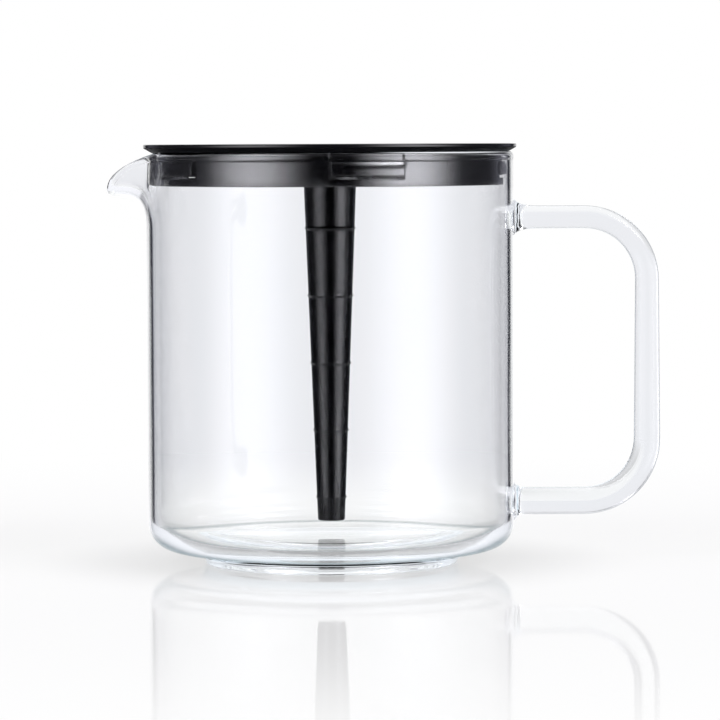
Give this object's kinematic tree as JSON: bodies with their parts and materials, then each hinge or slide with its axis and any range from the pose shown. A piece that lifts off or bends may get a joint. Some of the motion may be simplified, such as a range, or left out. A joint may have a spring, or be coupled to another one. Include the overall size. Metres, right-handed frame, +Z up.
{
  "type": "coffee jug",
  "caption": "Clear glass coffee jug with a rod handle and pulled spout; black plug lid with a brew-through inlet, flexing grip tabs and a tapered mixing stem.",
  "frame": {"origin": "on the jug's axis, in the plane of the foot ring that stands on the table", "axes": "+Z up along the jug's axis, +X towards the handle, -X towards the spout"},
  "size_m": [0.1812, 0.122, 0.137],
  "materials": {
    "clear_glass": "polished",
    "lid_gloss": "gloss",
    "lid_satin": "semi-gloss",
    "stem_satin": "satin"
  },
  "bodies": {
    "jug": {"jug_body": "clear_glass", "handle": "clear_glass", "upper_handle_weld": "clear_glass", "lower_handle_weld": "clear_glass"},
    "lid": {"lid_cover": "lid_gloss", "lid_skirt": "lid_satin"},
    "stem": {"mixing_stem": "stem_satin"},
    "tab_1": {"grip_tab_1": "lid_satin"},
    "tab_2": {"grip_tab_2": "lid_satin"},
    "tab_3": {"grip_tab_3": "lid_satin"},
    "tab_4": {"grip_tab_4": "lid_satin"},
    "tab_5": {"grip_tab_5": "lid_satin"}
  },
  "joints": [
    {"name": "lid_lift", "type": "slide", "parent": "jug", "child": "lid", "axis": [0, 0, 1], "range_m": [0, 0.14]},
    {"name": "stem_twist", "type": "hinge", "parent": "lid", "child": "stem", "pos_m": [0, 0, 0.128], "axis": [0, 0, 1], "range_deg": [0, 90]},
    {"name": "tab_1_flex", "type": "hinge", "parent": "lid", "child": "tab_1", "pos_m": [0.01196, -0.0544, 0.133], "axis": [0.9767, 0.2147, 0], "range_deg": [0, 6], "stiffness_Nm_per_rad": 0.06},
    {"name": "tab_2_flex", "type": "hinge", "parent": "lid", "child": "tab_2", "pos_m": [0.05543, -0.00543, 0.133], "axis": [0.0976, 0.9952, 0], "range_deg": [0, 6], "stiffness_Nm_per_rad": 0.06},
    {"name": "tab_3_flex", "type": "hinge", "parent": "lid", "child": "tab_3", "pos_m": [0.0223, 0.05104, 0.133], "axis": [-0.9164, 0.4003, 0], "range_deg": [0, 6], "stiffness_Nm_per_rad": 0.06},
    {"name": "tab_4_flex", "type": "hinge", "parent": "lid", "child": "tab_4", "pos_m": [-0.04165, 0.03698, 0.133], "axis": [-0.6639, -0.7478, 0], "range_deg": [0, 6], "stiffness_Nm_per_rad": 0.06},
    {"name": "tab_5_flex", "type": "hinge", "parent": "lid", "child": "tab_5", "pos_m": [-0.04804, -0.02819, 0.133], "axis": [0.506, -0.8625, 0], "range_deg": [0, 6], "stiffness_Nm_per_rad": 0.06}
  ]
}
